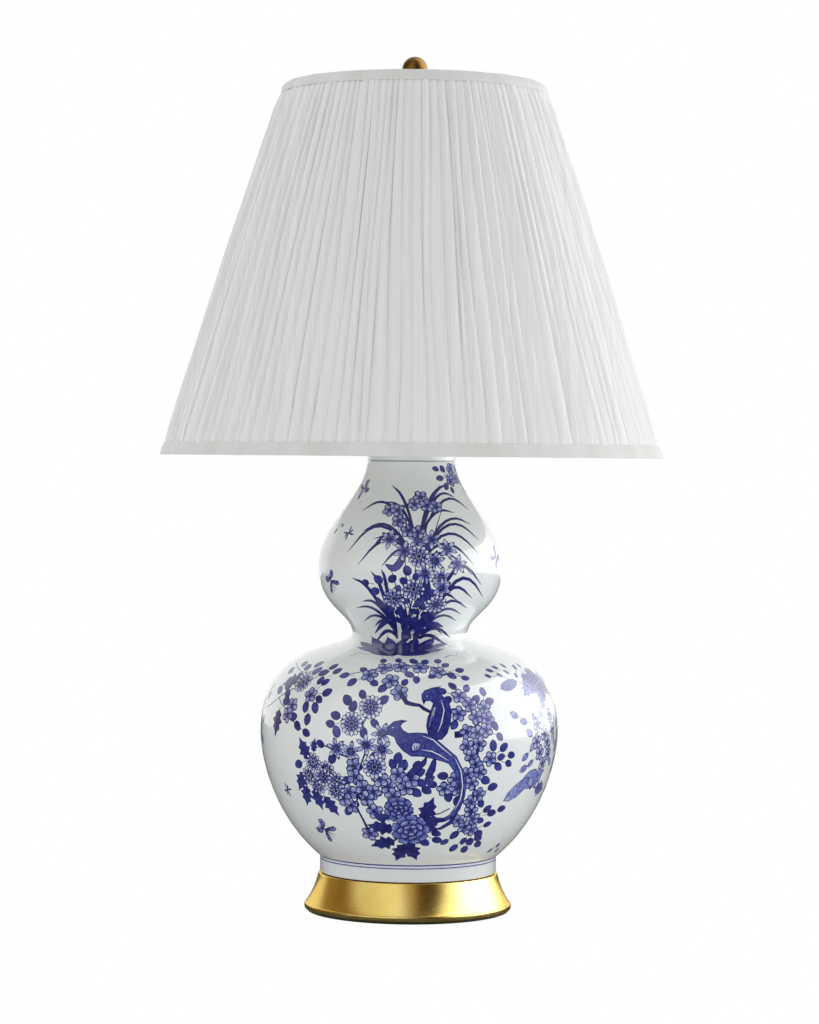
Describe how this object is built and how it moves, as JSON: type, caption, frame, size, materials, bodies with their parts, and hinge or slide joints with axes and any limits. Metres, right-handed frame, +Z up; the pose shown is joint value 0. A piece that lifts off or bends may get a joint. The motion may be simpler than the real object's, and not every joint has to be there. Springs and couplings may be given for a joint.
{
  "type": "table lamp",
  "caption": "Table lamp with a double gourd porcelain body painted in blue, a round gilded plinth, and a pleated cloth shade on a wire harp.",
  "frame": {"origin": "centre of the felt's underside, on the surface that the lamp stands on", "axes": "+Z up along the lamp's axis, -Y the front with the switch knob, +X to the right seen from the front"},
  "size_m": [0.4329, 0.433, 0.7353],
  "materials": {
    "felt": "dark felt",
    "gilding": "gilded wood, soft gloss",
    "black_plastic": "moulded",
    "zinc_steel": "zinc plated",
    "red_rubber": "matt",
    "pipe_steel": "plain threaded pipe",
    "porcelain": "clear glaze over a painted blue pattern",
    "brass": "lacquered",
    "harp_steel": "nickel plated",
    "cardboard": "pressed board",
    "switch_metal": "dull",
    "switch_plastic": "moulded",
    "bulb_metal": "rolled thread",
    "bulb_insulator": "dark glass",
    "bulb_housing": "satin",
    "bulb_glass": "frosted",
    "frame_wire": "white lacquer",
    "liner": "smooth",
    "pleated_cloth": "fine plain weave, pleated",
    "bias_tape": "folded tape",
    "antique_brass": "aged, polished on the ball"
  },
  "bodies": {
    "root": {"felt_pad": "felt", "base_plinth": "gilding", "cord_bushing": "black_plastic", "base_nut": "zinc_steel", "base_washer": "zinc_steel", "foot_gasket": "red_rubber", "lamp_pipe": "pipe_steel", "gourd_body": "porcelain", "cap_gasket": "red_rubber", "vase_cap": "brass", "neck_spacer": "brass", "harp_saddle": "harp_steel", "lock_nut": "zinc_steel", "socket_cap": "brass", "set_screw": "zinc_steel", "socket_shell": "brass", "insulating_sleeve": "cardboard", "socket_interior": "black_plastic", "screw_shell": "brass", "centre_contact": "brass", "terminal_screws": "zinc_steel"},
    "switch": {"switch_spindle": "switch_metal", "switch_knob": "switch_plastic"},
    "bulb": {"bulb_contact": "bulb_metal", "bulb_insulator": "bulb_insulator", "bulb_screw_cap": "bulb_metal", "bulb_body": "bulb_housing", "bulb_globe": "bulb_glass"},
    "harp": {"harp_wire": "harp_steel", "harp_boss": "brass"},
    "ferrule_left": {"ferrule_left": "brass"},
    "ferrule_right": {"ferrule_right": "brass"},
    "shade": {"shade_top_ring": "frame_wire", "shade_bottom_ring": "frame_wire", "shade_spider": "frame_wire", "shade_liner": "liner", "shade_pleats": "pleated_cloth", "shade_bottom_trim": "bias_tape", "shade_top_trim": "bias_tape"},
    "finial": {"finial": "antique_brass"}
  },
  "joints": [
    {"name": "harp_lift", "type": "slide", "parent": "root", "child": "harp", "axis": [0, 0, 1], "range_m": [0, 0.2]},
    {"name": "ferrule_left_slide", "type": "slide", "parent": "harp", "child": "ferrule_left", "axis": [0, 0, 1], "range_m": [0, 0.01]},
    {"name": "ferrule_right_slide", "type": "slide", "parent": "harp", "child": "ferrule_right", "axis": [0, 0, 1], "range_m": [0, 0.01]},
    {"name": "shade_swivel", "type": "hinge", "parent": "harp", "child": "shade", "pos_m": [0, 0, 0.7], "axis": [0, 0, 1], "continuous": true},
    {"name": "finial_turn", "type": "hinge", "parent": "harp", "child": "finial", "pos_m": [0, 0, 0.71], "axis": [0, 0, 1], "range_deg": [0, 2160]},
    {"name": "switch_turn", "type": "hinge", "parent": "root", "child": "switch", "pos_m": [0, -0.02, 0.4531], "axis": [0, -1, 0], "continuous": true},
    {"name": "bulb_turn", "type": "hinge", "parent": "root", "child": "bulb", "pos_m": [0, 0, 0.5], "axis": [0, 0, 1], "range_deg": [0, 900]}
  ]
}
